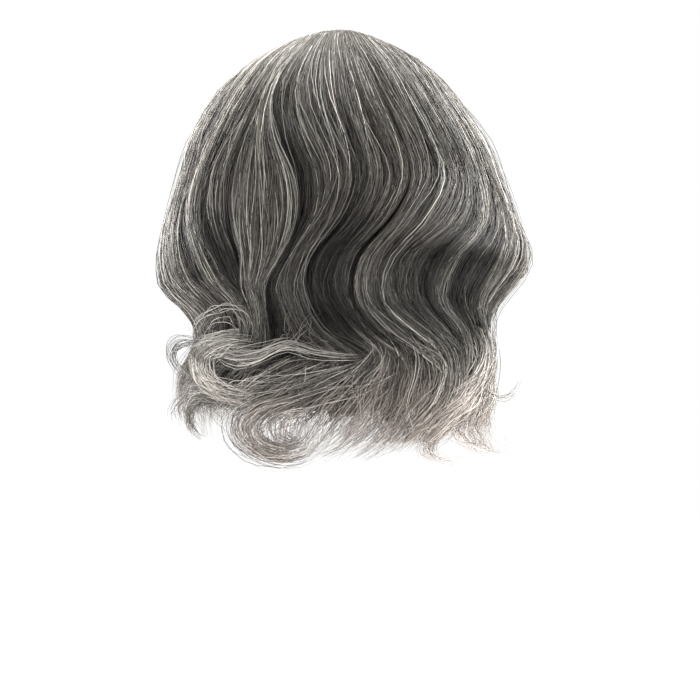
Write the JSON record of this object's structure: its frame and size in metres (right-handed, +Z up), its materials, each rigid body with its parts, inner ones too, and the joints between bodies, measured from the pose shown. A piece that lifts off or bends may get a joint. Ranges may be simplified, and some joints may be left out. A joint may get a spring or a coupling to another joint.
{
  "type": "bob wig",
  "caption": "Shoulder-length wavy bob wig of salt-and-pepper hair on a net cap, with a parting, waved locks and a hem of curled ends.",
  "frame": {"origin": "inside of the cap at the crown of the head, where the wig rests on it", "axes": "+Z up, +Y the way the wearer faces, +X to the wearer's right"},
  "size_m": [0.263, 0.2272, 0.2989],
  "materials": {
    "hair": "satin salt-and-pepper fibre",
    "hair_ends": "satin pale grey fibre",
    "cap_net": "matt net"
  },
  "bodies": {
    "root": {"cap": "cap_net", "crown_hair": "hair", "left_front_lock": "hair", "left_temple_lock": "hair", "left_ear_lock": "hair", "left_outer_lock": "hair", "left_side_wave": "hair", "left_slim_wave": "hair", "teardrop_lock": "hair", "left_back_lock": "hair", "middle_wave": "hair", "second_wave": "hair", "third_wave": "hair", "fourth_wave": "hair", "fifth_wave": "hair", "right_side_wave": "hair", "right_slim_wave": "hair", "right_outer_lock": "hair", "right_ear_lock": "hair", "right_temple_lock": "hair", "right_front_lock": "hair", "hem_lock_1": "hair_ends", "hem_lock_2": "hair_ends", "hem_lock_3": "hair_ends", "hem_lock_4": "hair_ends", "hem_lock_5": "hair_ends", "hem_lock_6": "hair_ends", "hem_lock_7": "hair_ends", "hem_lock_8": "hair_ends", "hem_lock_9": "hair_ends", "hem_lock_10": "hair_ends", "hem_lock_11": "hair_ends", "hem_lock_12": "hair_ends", "left_curl": "hair_ends", "left_flick": "hair_ends", "left_hook": "hair_ends", "nape_loop": "hair_ends", "right_flick": "hair_ends"}
  },
  "joints": []
}
